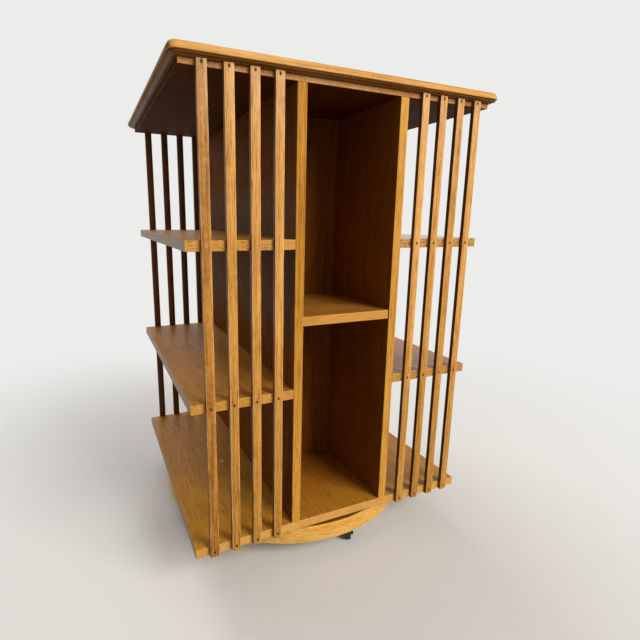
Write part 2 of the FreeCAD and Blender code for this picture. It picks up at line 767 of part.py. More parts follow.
drawOutline(cutterSketch, [
    (cutterOuter, "-Dims.cutterMargin"),
    (bandFoot, "-Dims.cutterMargin"),
    (bandFoot, "0"),
    (bandFace, "Dims.bandHeight - Dims.bandFillet", "Dims.cavettoRadius", -1),
    (bandFace, "Dims.bandHeight"),
    (grooveBack, "Dims.bandHeight"),
    (grooveBack, grooveTop),
    (topHalf, grooveTop),
    (topHalf, noseTop),
    (f"{topHalf} - Dims.ovoloReach", ovoloTop, "Dims.ovoloRadius", 1),
    (quirkBack, ovoloTop),
    (quirkBack, "Dims.topThick + Dims.cutterMargin"),
    (cutterOuter, "Dims.topThick + Dims.cutterMargin"),
])
moulding = topBoard.newObject("PartDesign::SubtractivePipe", "Moulding")
moulding.Profile = cutterSketch
moulding.Spine = (slabSketch, [f"Edge{index}" for index in range(1, 10)])
keep(topBoard)


# ---- check every object, then write each sub-part ----

document.recompute()
for item in document.Objects:
    if "Invalid" in item.State or "Error" in item.State:
        raise RuntimeError(f"{item.Label} failed: {item.State}")
for piece in subparts:
    shape = piece.Shape
    if shape.isNull() or not shape.isValid() or not shape.Solids:
        raise RuntimeError(f"{piece.Label} has no valid solid")

os.makedirs("parts", exist_ok=True)
for piece in subparts:
    piece.Shape.exportStep(f"parts/{piece.Label}.step")
    box = piece.Shape.BoundBox
    print(f"{piece.Label}: {len(piece.Shape.Solids)} solids, "
          f"x {box.XMin:.1f}..{box.XMax:.1f}, y {box.YMin:.1f}..{box.YMax:.1f}, "
          f"z {box.ZMin:.1f}..{box.ZMax:.1f}, volume {piece.Shape.Volume / 1000:.1f} cm3")
print(len(subparts), "sub-parts written")
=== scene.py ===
import bpy
import bmesh
import json
import math
from mathutils import Matrix, Vector


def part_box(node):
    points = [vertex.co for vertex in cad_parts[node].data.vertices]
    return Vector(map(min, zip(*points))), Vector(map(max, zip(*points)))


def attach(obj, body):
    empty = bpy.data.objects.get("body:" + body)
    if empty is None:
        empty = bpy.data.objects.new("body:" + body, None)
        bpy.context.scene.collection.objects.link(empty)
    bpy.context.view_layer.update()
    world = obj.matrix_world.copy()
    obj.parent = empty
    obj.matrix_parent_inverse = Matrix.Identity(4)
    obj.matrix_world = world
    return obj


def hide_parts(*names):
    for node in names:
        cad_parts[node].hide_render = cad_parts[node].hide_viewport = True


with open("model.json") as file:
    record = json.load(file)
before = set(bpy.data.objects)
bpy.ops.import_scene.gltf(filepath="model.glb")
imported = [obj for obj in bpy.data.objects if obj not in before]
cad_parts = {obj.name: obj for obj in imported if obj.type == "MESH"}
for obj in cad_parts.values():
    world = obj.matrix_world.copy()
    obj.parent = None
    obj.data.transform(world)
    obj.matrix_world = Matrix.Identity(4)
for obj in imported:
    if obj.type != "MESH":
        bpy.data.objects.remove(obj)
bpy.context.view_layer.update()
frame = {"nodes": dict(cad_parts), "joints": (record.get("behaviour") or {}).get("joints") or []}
mm = 0.001
print("frame loaded with", len(frame["nodes"]), "nodes")


# A node socket that takes arithmetic: every operator adds the Math node it stands for.
class Link:
    def __init__(self, graph, socket):
        self.graph = graph
        self.socket = socket

    def math(self, operation, *others):
        return self.graph.add("ShaderNodeMath", {"operation": operation}, [self, *others])

    def __add__(self, other):
        return self.math("ADD", other)

    def __radd__(self, other):
        return self.math("ADD", other)

    def __sub__(self, other):
        return self.math("SUBTRACT", other)

    def __rsub__(self, other):
        return self.graph.add("ShaderNodeMath", {"operation": "SUBTRACT"}, [other, self])

    def __mul__(self, other):
        return self.math("MULTIPLY", other)

    def __rmul__(self, other):
        return self.math("MULTIPLY", other)

    def __truediv__(self, other):
        return self.math("DIVIDE", other)

    def __pow__(self, other):
        return self.math("POWER", other)

    def __neg__(self):
        return self.math("MULTIPLY", -1.0)

    def __abs__(self):
        return self.math("ABSOLUTE")


# A node tree with one way to add a node: its type, its settings, and its inputs' values or links.
class Graph:
    def __init__(self, tree):
        self.tree = tree

    def add(self, kind, settings=None, inputs=None, output=0):
        node = self.tree.nodes.new(kind)
        for name, value in (settings or {}).items():
            if name == "stops":
                self.setStops(node.color_ramp, value)
            else:
                setattr(node, name, value)
        named = enumerate(inputs) if isinstance(inputs, (list, tuple)) else (inputs or {}).items()
        for name, value in named:
            if isinstance(value, Link):
                self.tree.links.new(value.socket, node.inputs[name])
            else:
                node.inputs[name].default_value = value
        return Link(self, node.outputs[output]) if node.outputs else node

    def setStops(self, ramp, stops):
        while len(ramp.elements) < len(stops):
            ramp.elements.new(1.0)
        for element, (position, colour) in zip(ramp.elements, stops):
            element.position = position
            element.color = colour

    def sibling(self, link, output):
        return Link(self, link.socket.node.outputs[output])


class Finish(Graph):
    # A material, with the few texture steps that every finish here is built from.
    def __init__(self, name):
        self.material = bpy.data.materials.new(name)
        self.material.use_nodes = True
        super().__init__(self.material.node_tree)
        self.tree.nodes.clear()

    def place(self):
        return self.add("ShaderNodeTexCoord", output="Object")

    def facing(self):
        # The normal in the piece's own frame, so that what reads it turns with the body.
        return self.split(self.add("ShaderNodeTexCoord", output="Normal"))

    def split(self, vector):
        x = self.add("ShaderNodeSeparateXYZ", {}, [vector])
        return x, self.sibling(x, 1), self.sibling(x, 2)

    def join(self, x, y, z):
        return self.add("ShaderNodeCombineXYZ", {}, [x, y, z])

    def noise(self, vector, scale, detail=2.0, roughness=0.5):
        sizes = {"Vector": vector, "Scale": scale, "Detail": detail, "Roughness": roughness}
        return self.add("ShaderNodeTexNoise", {}, sizes)

    def smooth(self, value, low, high, start=0.0, end=1.0):
        settings = {"interpolation_type": "SMOOTHSTEP"}
        return self.add("ShaderNodeMapRange", settings, [value, low, high, start, end])

    def mix(self, factor, first, second, blend="MIX"):
        settings = {"data_type": "RGBA", "blend_type": blend}
        return self.add("ShaderNodeMix", settings, {0: factor, 6: first, 7: second}, output=2)

    def ramp(self, value, stops):
        return self.add("ShaderNodeValToRGB", {"stops": stops}, [value])

    def bump(self, height, distance, strength):
        return self.add(
            "ShaderNodeBump", {}, {"Height": height, "Distance": distance, "Strength": strength})

    def surface(self, inputs):
        shader = self.add("ShaderNodeBsdfPrincipled", {}, inputs)
        self.add("ShaderNodeOutputMaterial", {}, {"Surface": shader})
        return self.material


def colour(red, green, blue):
    return (red, green, blue, 1.0)


# ---- oak ----

# The tone of each part of the bookcase, in linear colour from its dark grain to its light wood.
oakTones = {
    "slat": [colour(0.28, 0.098, 0.009), colour(0.65, 0.282, 0.036), colour(0.90, 0.475, 0.125)],
    "edge": [colour(0.40, 0.155, 0.017), colour(0.68, 0.316, 0.049), colour(0.86, 0.480, 0.125)],
    "foot": [colour(0.46, 0.190, 0.024), colour(0.80, 0.400, 0.078), colour(0.94, 0.560, 0.170)],
    "peach": [colour(0.44, 0.190, 0.050), colour(0.74, 0.400, 0.160), colour(0.88, 0.560, 0.290)],
    # The broad faces are darker than the shelves and edges, partly as painted shade inside the bookcase.
    "face": [colour(0.130, 0.038, 0.004), colour(0.245, 0.080, 0.009), colour(0.350, 0.130, 0.018)],
    "shelf": [colour(0.230, 0.078, 0.007), colour(0.470, 0.190, 0.024), colour(0.640, 0.300, 0.052)],
    "top": [colour(0.42, 0.165, 0.020), colour(0.77, 0.395, 0.092), colour(0.95, 0.610, 0.240)],
    # The rim runs to full brightness, partly as painted light on the rim.
    "rim": [colour(0.66, 0.270, 0.026), colour(1.00, 0.520, 0.078), colour(1.00, 0.690, 0.220)],
}

oakGrain = {
    "ringGap": 3.6 * mm,      # between growth rings
    "wobble": 9.0 * mm,       # how far the rings stray along the board
    "poreWidth": 0.55 * mm,
    "poreLength": 11.0 * mm,
    "poreDepth": 0.16 * mm,
    "streakWidth": 4.5 * mm,
    "streakLength": 110.0 * mm,
    "fleckHeight": 1.3 * mm,  # the dark dashes in the sawn ends
    "fleckLength": 9.0 * mm,
    "dashWidth": 1.5 * mm,    # the dark dashes along the grain
    "dashLength": 38.0 * mm,
    "figureSize": 95.0 * mm,  # of the slow change from light wood to dark
}

grainOrders = {"X": (1, 2, 0), "Y": (0, 2, 1), "Z": (0, 1, 2)}


def woodFigure(finish, look):
    # Growth rings about the tree's heart, which lies beside the board, with the pores of the
    # early wood. Returns the tone from dark 0 to light 1, the pores, the fine fibres and the
    # dashes along the grain.
    grain, heart, seed = look["grain"], look["heart"], look["seed"]
    axes = finish.split(finish.place())
    across, through, along = (axes[index] for index in grainOrders[grain])
    slow = finish.join(across + seed, through + seed * 0.7, along * 0.16)
    stray = finish.split(finish.add("ShaderNodeTexNoise", {}, {
        "Vector": slow, "Scale": 6.5, "Detail": 2.0}, output="Color"))
    wobble = oakGrain["wobble"]
    sideways = across - heart[0] + (stray[0] - 0.5) * (2 * wobble)
    depth = through - heart[1] + (stray[1] - 0.5) * (2 * wobble)
    radius = (sideways * sideways + depth * depth) ** 0.5
    ring = (radius * (1 / oakGrain["ringGap"])).math("FRACT")
    early = finish.smooth(ring, 0.0, 0.42, 1.0, 0.0)
    late = finish.smooth(ring, 0.55, 0.97)
    streakLength = oakGrain["poreWidth"] / oakGrain["poreLength"]
    fibreSpace = finish.join(across + seed, through, along * streakLength)
    pores = finish.smooth(finish.noise(fibreSpace, 1 / oakGrain["poreWidth"], 1.0), 0.56, 0.70)
    pores = pores * (early * 0.75 + 0.25)
    fibres = finish.noise(finish.join(across, through + seed, along * 0.018), 480.0, 3.0, 0.6)
    figure = finish.noise(slow, 1 / oakGrain["figureSize"], 3.0, 0.55)
    stretch = oakGrain["streakWidth"] / oakGrain["streakLength"]
    streakSpace = finish.join(across + seed * 2, through - seed, along * stretch)
    streaks = finish.noise(streakSpace, 1 / oakGrain["streakWidth"], 2.0, 0.5)
    rings = (late * 0.12 - early * 0.16) * look["rings"]
    tone = (figure - 0.5) * 0.75 + (streaks - 0.5) * look["streaks"] + (fibres - 0.5) * 0.45 + rings
    dashStretch = oakGrain["dashWidth"] / oakGrain["dashLength"]
    dashSpace = finish.join(across - seed, through + seed * 3, along * dashStretch)
    dashes = finish.noise(dashSpace, 1 / oakGrain["dashWidth"], 2.0, 0.6)
    return tone + 0.5 + look["lift"], pores, fibres, finish.smooth(dashes, 0.49, 0.68)


def sawnFlecks(finish, look):
    # Short dark dashes along X in the sawn ends that face the slats.
    x, y, z = finish.split(finish.place())
    stretch = oakGrain["fleckHeight"] / oakGrain["fleckLength"]
    dashes = finish.noise(finish.join(x * stretch, y, z + look["seed"]), 1 / oakGrain["fleckHeight"], 2.0)
    return finish.smooth(dashes, look["fleckFrom"], look["fleckFrom"] + 0.12)


def arrisMask(finish, low, high, width):
    # 1 along the piece's outer arrises, fading over the width: the second smallest of the
    # three distances to its faces is small only there.
    reaches = []
    for axis, place in enumerate(finish.split(finish.place())):
        reaches.append((place - low[axis]).math("MINIMUM", high[axis] - place))
    x, y, z = reaches
    nearer = x.math("MINIMUM", y)
    farther = x.math("MAXIMUM", y)
    second = nearer.math("MAXIMUM", farther.math("MINIMUM", z))
    return finish.smooth(second, 0.0, width, 1.0, 0.0)


def looking(finish, way, low=0.5, high=0.9):
    # 1 on the faces that look one way, such as "-X" or "+Z", or both ways along an axis, such as "Y".
    along = finish.facing()["XYZ".index(way[-1])]
    if way.startswith("-"):
        along = -along
    elif not way.startswith("+"):
        along = abs(along)
    return finish.smooth(along, low, high)


def shadedEnds(finish):
    # The ends towards -X and +X get painted shade, as little light reaches them.
    return looking(finish, "X", 0.55)


def leftEnd(finish):
    return looking(finish, "-X", 0.55)


def facingDown(finish):
    return looking(finish, "-Z")


# Painted shade on the ends towards -X and +X.
paintedEndShade = {"where": shadedEnds, "colour": colour(0.28, 0.23, 0.20), "blend": "MULTIPLY"}
# Painted shade on the faces that look down.
paintedUnderShade = {"where": facingDown, "colour": colour(0.50, 0.44, 0.52), "blend": "MULTIPLY"}
# Painted light: the -X ends are tinted grey-brown for the cool light that falls on them.
paintedCoolLightOnEnds = {"where": leftEnd, "colour": colour(0.31, 0.200, 0.108)}


# The pit colour is painted shade in the dimples round the brads.
oakStainsAndShade = {
    "dash": colour(0.50, 0.36, 0.26), "pore": colour(0.085, 0.028, 0.004),
    "grime": colour(0.100, 0.036, 0.008), "fleck": colour(0.150, 0.062, 0.010),
    "mark": colour(0.74, 0.50, 0.22), "pit": colour(0.035, 0.014, 0.006),
}


def toneRamp(finish, tone, name):
    darkest, middle, lightest = oakTones[name]
    return finish.ramp(tone, [(0.12, darkest), (0.50, middle), (0.88, lightest)])


def oakFinish(name, look):
    finish = Finish(name)
    tone, pores, fibres, dashes = woodFigure(finish, look)
    if "toneFrom" in look:
        shade = finish.add("ShaderNodeAttribute", {"attribute_name": look["toneFrom"]}, output="Fac")
        tone = tone + (shade - 0.5) * look["toneSpread"]
    wood = toneRamp(finish, tone, look["tone"])
    if "mottle" in look:
        clouds = finish.noise(finish.place(), 1 / look["mottle"]["size"], 5.0, 0.7)
        clouds = finish.smooth(clouds, 0.40, 0.66) * look["mottle"]["share"]
        wood = finish.mix(clouds, wood, look["mottle"]["colour"])
    if "edgeTone" in look:
        # the sawn edges that face the slats are paler than the broad faces: partly their own wood, partly
        # painted light on the lit edges
        edgeWood = toneRamp(finish, tone, look["edgeTone"])
        if look["flecks"]:
            flecks = sawnFlecks(finish, look) * look["flecks"]
            edgeWood = finish.mix(flecks, edgeWood, oakStainsAndShade["fleck"])
        wood = finish.mix(looking(finish, "Y", 0.35, 0.75), wood, edgeWood)
    for shading in look["shadings"]:
        blend = shading.get("blend", "MIX")
        wood = finish.mix(shading["where"](finish), wood, shading["colour"], blend)
    wood = finish.mix(dashes * look["dashes"], wood, oakStainsAndShade["dash"], "MULTIPLY")
    wood = finish.mix(pores * look["poreShade"], wood, oakStainsAndShade["pore"])
    patches = finish.noise(finish.place(), 14.0, 4.0, 0.62)
    grime = finish.smooth(patches, 0.52, 0.80) * look["grime"]
    wood = finish.mix(grime, wood, oakStainsAndShade["grime"])
    for x, y, size in look["marks"]:
        # a rubbed spot where the varnish has gone pale
        away = finish.add("ShaderNodeVectorMath", {"operation": "DISTANCE"}, [
            finish.place(), (x * mm, y * mm, look["high"].z)], output="Value")
        spot = finish.smooth(away + (patches - 0.5) * (size * mm), 0.0, size * mm, 1.0, 0.0)
        wood = finish.mix(spot * 0.8, wood, oakStainsAndShade["mark"])
    if "low" in look:
        worn = arrisMask(finish, look["low"], look["high"], look["wearWidth"])
        worn = worn * finish.smooth(finish.noise(finish.place(), 60.0, 3.0), 0.42, 0.66)
        wood = finish.mix(worn * look["wear"], wood, look["wearColour"])
    if "dimples" in look:
        pit = look["dimples"](finish)
        # painted shade in the dimple round each brad
        wood = finish.mix(pit * 0.85, wood, oakStainsAndShade["pit"])
        pores = pores + pit * 3.0
    smudges = finish.noise(finish.place(), 38.0, 4.0, 0.6)
    roughness = look["roughness"] + (smudges - 0.5) * 0.20 + pores * 0.22
    height = fibres * 0.25 - pores
    return finish.surface({
        "Base Color": wood,
        "Roughness": roughness.math("MAXIMUM", 0.08),
        "Specular IOR Level": look["shine"],
        "Coat Weight": finish.smooth(smudges, 0.2, 0.8, look["varnish"], look["varnish"] * 0.7),
        "Coat Roughness": look["coatRoughness"],
        "Coat IOR": 1.5,
        "Normal": finish.bump(height, oakGrain["poreDepth"], 0.55),
    })


oakDefaults = {
    "grain": "Y", "heart": (0.05, -0.22), "seed": 1.0, "tone": "face", "lift": 0.0, "rings": 0.5,
    "streaks": 0.55, "dashes": 0.45, "poreShade": 0.62, "grime": 0.30, "roughness": 0.64,
    "shine": 0.04, "varnish": 0.0, "coatRoughness": 0.22, "wearWidth": 2.2 * mm, "wear": 0.50,
    "wearColour": colour(0.66, 0.33, 0.07), "flecks": 0.0, "fleckFrom": 0.56,
    "marks": (), "shadings": (),
}


# ---- metal and plastic ----

def metalFinish(name, bright, dull, metallic, roughness, scale):
    finish = Finish(name)
    blotches = finish.noise(finish.place(), scale, 4.0, 0.6)
    scratches = finish.noise(finish.place(), scale * 9, 2.0)
    worn = finish.smooth(blotches, 0.38, 0.66)
    return finish.surface({
        "Base Color": finish.mix(worn, dull, bright),
        "Metallic": metallic,
        "Roughness": roughness + (1.0 - worn) * 0.22 + (scratches - 0.5) * 0.15,
        "Normal": finish.bump(scratches, 0.05 * mm, 0.3),
    })


hardwareFinishes = {
    "castorSteel": metalFinish(
        "castorSteel", colour(0.021, 0.018, 0.016), colour(0.009, 0.007, 0.006), 0.30, 0.60, 160.0),
    "groundSteel": metalFinish(
        "groundSteel", colour(0.52, 0.51, 0.49), colour(0.24, 0.22, 0.20), 1.0, 0.26, 90.0),
    "turnedBrass": metalFinish(
        "turnedBrass", colour(0.72, 0.50, 0.20), colour(0.33, 0.20, 0.075), 1.0, 0.30, 110.0),
    "japannedIron": metalFinish(
        "japannedIron", colour(0.030, 0.028, 0.026), colour(0.075, 0.050, 0.036), 0.25, 0.45, 130.0),
    "wheelBlack": metalFinish(
        "wheelBlack", colour(0.013, 0.011, 0.010), colour(0.032, 0.027, 0.022), 0.0, 0.60, 210.0),
}


# ---- small mesh helpers ----

def newPiece(name, mesh, material):
    piece = bpy.data.objects.new(name, mesh)
    bpy.context.scene.collection.objects.link(piece)
    mesh.materials.clear()
    mesh.materials.append(material)
    return piece


def meshFrom(name, build):
    mesh = bpy.data.meshes.new(name)
    work = bmesh.new()
    build(work)
    bmesh.ops.remove_doubles(work, verts=work.verts, dist=1e-7)
    bmesh.ops.recalc_face_normals(work, faces=work.faces)
    work.to_mesh(mesh)
    work.free()
    return mesh


def bevel(piece, width, segments=2, angle=30):
    modifier = piece.modifiers.new("easedArrises", "BEVEL")
    modifier.width = width
    modifier.segments = segments
    modifier.limit_method = "ANGLE"
    modifier.angle_limit = math.radians(angle)
    modifier.harden_normals = False
    return modifier


def smoothByAngle(piece, angle=35):
    for polygon in piece.data.polygons:
        polygon.use_smooth = True
    piece.data.set_sharp_from_angle(angle=math.radians(angle))


# ---- the flat boards and uprights ----

# Every board is cut to its node's box and gets eased arrises; the tongues that the uprights
# hide are left off, so a board stops at the upright's face.
boardShape = {"ease": 0.7 * mm, "easeSegments": 2}

# Where the painted light and shade on the boards lie.
boardLightAndShade = {
    "sheenFrom": (0.42, 0.54), "sheenTo": (0.60, 0.66),  # heights over which the painted grey reflection fades
    "footTo": (0.20, 0.50),      # heights over which the painted light on the foot fades
    "sunTo": (-0.15, 0.06),      # places along Y over which the painted light at the front fades
    "bayFrom": (-0.25, -0.14),   # places along Y over which the painted shade on the bays' floor sets in
}


def paintedGreySheen(finish):
    # Painted reflection: a grey sheen on the outer face between the two side shelves.
    x, y, z = finish.split(finish.place())
    cloud = finish.noise(finish.place(), 7.0, 3.0) * 0.14
    lower = finish.smooth(z + cloud, *boardLightAndShade["sheenFrom"])
    return lower * finish.smooth(z, *boardLightAndShade["sheenTo"], 0.75, 0.0) * looking(finish, "-X")


def paintedLitFoot(finish):
    # Painted light: the upright's front and back edges are brighter towards the foot, less shaded there.
    x, y, z = finish.split(finish.place())
    drift = finish.noise(finish.place(), 12.0, 3.0) * 0.12
    return finish.smooth(z + drift, *boardLightAndShade["footTo"], 0.56, 0.0) * looking(finish, "Y")


flatShelf = {
    "tone": "shelf", "edgeTone": "edge", "rings": 0.2, "streaks": 0.22, "dashes": 0.30,
    "roughness": 0.46, "shine": 0.30, "varnish": 0.08, "shadings": (paintedCoolLightOnEnds,),
    "mottle": {"size": 16.0 * mm, "share": 0.40, "colour": colour(0.36, 0.165, 0.036)},
}


def paintedLitFront(finish):
    # Painted light: the bottom board's top is paler and more golden towards its open front, where more light
    # falls.
    x, y, z = finish.split(finish.place())
    drift = finish.noise(finish.place(), 9.0, 3.0) * 0.16
    return finish.smooth(y + drift, *boardLightAndShade["sunTo"], 0.70, 0.0) * looking(finish, "+Z")


def paintedBayShade(finish):
    # Painted shade: between the uprights the bottom board's top is darkened, less so at the open front.
    x, y, z = finish.split(finish.place())
    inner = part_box("right_panel")[0].x
    between = finish.smooth(abs(x), inner - 1.0 * mm, inner, 1.0, 0.0)
    between = between * finish.smooth(y, *boardLightAndShade["bayFrom"], 0.25, 1.0)
    return between * looking(finish, "+Z")


sawnShelf = {**flatShelf, "flecks": 0.75}
boardLooks = {
    "bottom_board": {
        **flatShelf, "seed": 1.3, "heart": (0.03, -0.31), "edgeTone": "foot", "flecks": 0.15,
        "lift": 0.06, "dashes": 0.6,
        "marks": ((-147.7, -18.5, 9.0), (75.7, -61.8, 4.0)),  # X, Y and width, in millimetres
        "shadings": (
            paintedCoolLightOnEnds, {"where": paintedLitFront, "colour": colour(0.63, 0.300, 0.024)},
            {"where": paintedBayShade, "colour": colour(0.80, 0.64, 0.42), "blend": "MULTIPLY"})},
    # The sub-top is toned down, and its underside darkened further, as painted shade under the top.
    "subtop_board": {
        "seed": 2.9, "heart": (-0.06, 0.40), "edgeTone": "peach", "lift": -0.12, "wear": 0.22,
        "shadings": (paintedEndShade, paintedUnderShade)},
    "left_mid_shelf": {**sawnShelf, "seed": 3.7, "heart": (-0.14, 0.12), "lift": -0.03, "dashes": 0.40},
    "left_upper_shelf": {**sawnShelf, "seed": 4.1, "heart": (-0.20, 0.36)},
    "right_mid_shelf": {
        **sawnShelf, "seed": 5.3, "heart": (0.21, 0.15), "roughness": 0.38, "varnish": 0.30},
    "right_upper_shelf": {
        **sawnShelf, "seed": 6.7, "heart": (0.15, 0.38), "flecks": 0.9, "fleckFrom": 0.49,
        "roughness": 0.30, "shine": 0.5, "varnish": 0.60, "coatRoughness": 0.12},
    "front_centre_shelf": {**flatShelf, "seed": 7.9, "grain": "X", "heart": (-0.16, 0.24)},
    "back_centre_shelf": {**flatShelf, "seed": 8.3, "grain": "X", "heart": (0.16, 0.24)},
    "left_panel": {
        "seed": 9.1, "grain": "Z", "heart": (-0.24, 0.05), "edgeTone": "edge", "lift": -0.14,
        "dashes": 0.65, "streaks": 0.75,
        "shadings": (
            {"where": paintedGreySheen, "colour": colour(0.180, 0.117, 0.072)},
            {"where": paintedLitFoot, "colour": colour(0.93, 0.465, 0.080)})},
    "right_panel": {
        "seed": 10.7, "grain": "Z", "heart": (0.26, -0.03), "edgeTone": "edge", "lift": 0.14},
    "core_wall_front": {"seed": 11.9, "grain": "Z", "heart": (0.02, -0.22)},
    "core_wall_back": {"seed": 12.1, "grain": "Z", "heart": (-0.03, 0.22)},
}


def boardBox(node):
    low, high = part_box(node)
    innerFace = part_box("right_panel")[0].x
    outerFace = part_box("right_panel")[1].x
    if "centre_shelf" in node:
        low.x, high.x = -innerFace, innerFace
    if node.startswith("left_") and node.endswith("_shelf"):
        high.x = -outerFace
    if node.startswith("right_") and node.endswith("_shelf"):
        low.x = outerFace
    return low, high


def makeBoard(node, look):
    low, high = boardBox(node)
    size = high - low
    middle = (low + high) / 2

    def build(work):
        place = Matrix.Translation(middle) @ Matrix.Diagonal((*size, 1.0))
        bmesh.ops.create_cube(work, size=1.0, matrix=place)

    finish = oakFinish(f"oak_{node}", {**oakDefaults, "low": low, "high": high, **look})
    piece = newPiece(f"{node}_wood", meshFrom(node, build), finish)
    bevel(piece, boardShape["ease"], boardShape["easeSegments"])
    smoothByAngle(piece)
    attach(piece, "bookcase")
    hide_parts(node)
    return piece


for node, look in boardLooks.items():
    makeBoard(node, look)
print("boards and uprights made")


# ---- slats and brads, each row laid out by Geometry Nodes ----

def bookcaseSizes():
    # Everything below is read from the frame's own boxes.
    first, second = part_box("front_slat_1"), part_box("front_slat_2")
    return {
        "outermost": -(first[0].x + first[1].x) / 2,
        "pitch": second[0].x - first[0].x,
        "width": first[1].x - first[0].x,
        "faceY": -first[0].y,
        "base": first[0].z,
        "length": first[1].z - first[0].z,
        "perSide": 4,
    }


sizes = bookcaseSizes()
bradBoards = ("bottom_board", "left_mid_shelf", "left_upper_shelf", "subtop_board")
bradLevels = [(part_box(node)[0].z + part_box(node)[1].z) / 2 for node in bradBoards]
slatShape = {
    "thick": 7.5 * mm, "proud": 1.0 * mm,  # thicker than the nodes, and let into the boards' edges
    "ease": 0.35 * mm, "easeSteps": 2, "toneSeed": 604,
}
slatFace = sizes["faceY"] + slatShape["proud"]
bradShape = {"halfWidth": 1.15 * mm, "halfHeight": 1.55 * mm, "dome": 0.30 * mm, "sunk": 0.12 * mm}


def nodeTree(name, sockets):
    # A geometry tree with named inputs; returns the graph and its inputs by name.
    tree = bpy.data.node_groups.new(name, "GeometryNodeTree")
    for label, kind in sockets.items():
        tree.interface.new_socket(name=label, in_out="INPUT", socket_type=kind)
    tree.interface.new_socket(name="Geometry", in_out="OUTPUT", socket_type="NodeSocketGeometry")
    graph = Graph(tree)
    groupInput = tree.nodes.new("NodeGroupInput")
    return graph, {label: Link(graph, groupInput.outputs[label]) for label in sockets}


def finishTree(graph, geometry, material):
    realized = graph.add("GeometryNodeRealizeInstances", {}, {"Geometry": geometry})
    painted = graph.add("GeometryNodeSetMaterial", {}, {"Geometry": realized, "Material": material})
    graph.add("NodeGroupOutput", {}, {"Geometry": painted})


def bakeTree(name, graph, values, material, source=None):
    # Runs the tree on a carrier object and keeps its result as a plain mesh.
    carrier = bpy.data.objects.new(f"{name}_carrier", source or bpy.data.meshes.new(f"{name}_empty"))
    bpy.context.scene.collection.objects.link(carrier)
    modifier = carrier.modifiers.new(name, "NODES")
    modifier.node_group = graph.tree
    for item in graph.tree.interface.items_tree:
        if item.in_out == "INPUT" and item.name in values:
            modifier[item.identifier] = values[item.name]
    bpy.context.view_layer.update()
    evaluated = carrier.evaluated_get(bpy.context.evaluated_depsgraph_get())
    mesh = bpy.data.meshes.new_from_object(evaluated)
    mesh.name = name
    bpy.data.objects.remove(carrier)
    return newPiece(name, mesh, material)


def slatSpots(graph, given):
    # The places of all the slats: four short rows, one at each end of the two slatted faces.
    rows = []
    reach = given["Pitch"] * (given["Per side"] - 1.0)
    for side in (-1.0, 1.0):
        for face in (-1.0, 1.0):
            startX = given["Outermost"] * side if side < 0 else given["Outermost"] - reach
            start = graph.add("ShaderNodeCombineXYZ", {}, [startX, given["Row"] * face, given["Base"]])
            step = graph.add("ShaderNodeCombineXYZ", {}, [given["Pitch"], 0.0, 0.0])
            rows.append(graph.add("GeometryNodeMeshLine", {"mode": "OFFSET"}, {
                "Count": given["Per side"], "Start Location": start, "Offset": step}))
    return joinAll(graph, rows)


def joinAll(graph, parts):
    joined = graph.tree.nodes.new("GeometryNodeJoinGeometry")
    for part in parts:
        graph.tree.links.new(part.socket, joined.inputs[0])
    return Link(graph, joined.outputs[0])


rowSockets = {
    "Outermost": "NodeSocketFloat", "Pitch": "NodeSocketFloat", "Per side": "NodeSocketInt",
    "Row": "NodeSocketFloat", "Base": "NodeSocketFloat",
}


def slatTree(material):
    graph, given = nodeTree("slatRows", {
        **rowSockets, "Width": "NodeSocketFloat", "Thickness": "NodeSocketFloat",
        "Length": "NodeSocketFloat", "Ease": "NodeSocketFloat", "Ease steps": "NodeSocketInt",
        "Tone seed": "NodeSocketInt",
    })
    outline = graph.add("GeometryNodeCurvePrimitiveQuadrilateral", {"mode": "RECTANGLE"}, {
        "Width": given["Width"], "Height": given["Thickness"]})
    eased = graph.add("GeometryNodeFilletCurve", {"mode": "POLY"}, {
        "Curve": outline, "Radius": given["Ease"], "Count": given["Ease steps"]})
    top = graph.add("ShaderNodeCombineXYZ", {}, [0.0, 0.0, given["Length"]])
    upright = graph.add("GeometryNodeCurvePrimitiveLine", {"mode": "POINTS"}, {"End": top})
    bar = graph.add("GeometryNodeCurveToMesh", {}, {
        "Curve": upright, "Profile Curve": eased, "Fill Caps": True})
    rows = graph.add("GeometryNodeInstanceOnPoints", {}, {
        "Points": slatSpots(graph, given), "Instance": bar})
    shade = graph.add("FunctionNodeRandomValue", {"data_type": "FLOAT"}, {
        "Seed": given["Tone seed"]}, output=1)
    toned = graph.add(
        "GeometryNodeStoreNamedAttribute", {"data_type": "FLOAT", "domain": "INSTANCE"},
        {"Geometry": rows, "Name": "slatTone", "Value": shade})
    finishTree(graph, toned, material)
    return graph


def bradTree(material):
    levelNames = [f"Level {number}" for number in range(1, len(bradLevels) + 1)]
    graph, given = nodeTree("bradHeads", {
        **rowSockets, "Half width": "NodeSocketFloat", "Half height": "NodeSocketFloat",
        "Dome": "NodeSocketFloat", **{name: "NodeSocketFloat" for name in levelNames},
    })
    ball = graph.add("GeometryNodeMeshUVSphere", {}, {"Segments": 12, "Rings": 8, "Radius": 1.0})
    scale = graph.add("ShaderNodeCombineXYZ", {}, [given["Half width"], given["Dome"], given["Half height"]])
    head = graph.add("GeometryNodeTransform", {}, {"Geometry": ball, "Scale": scale})
    spots = slatSpots(graph, given)
    rows = []
    for name in levelNames:
        lift = graph.add("ShaderNodeCombineXYZ", {}, [0.0, 0.0, given[name]])
        raised = graph.add("GeometryNodeSetPosition", {}, {"Geometry": spots, "Offset": lift})
        rows.append(graph.add("GeometryNodeInstanceOnPoints", {}, {"Points": raised, "Instance": head}))
    finishTree(graph, joinAll(graph, rows), material)
    return graph


def acrossSlat(finish, x):
    # How far a point lies from the middle of its own slat, found from the slats' spacing.
    step = ((sizes["outermost"] - abs(x)) / sizes["pitch"] + 0.5).math("FRACT")
    return (step - 0.5) * sizes["pitch"]


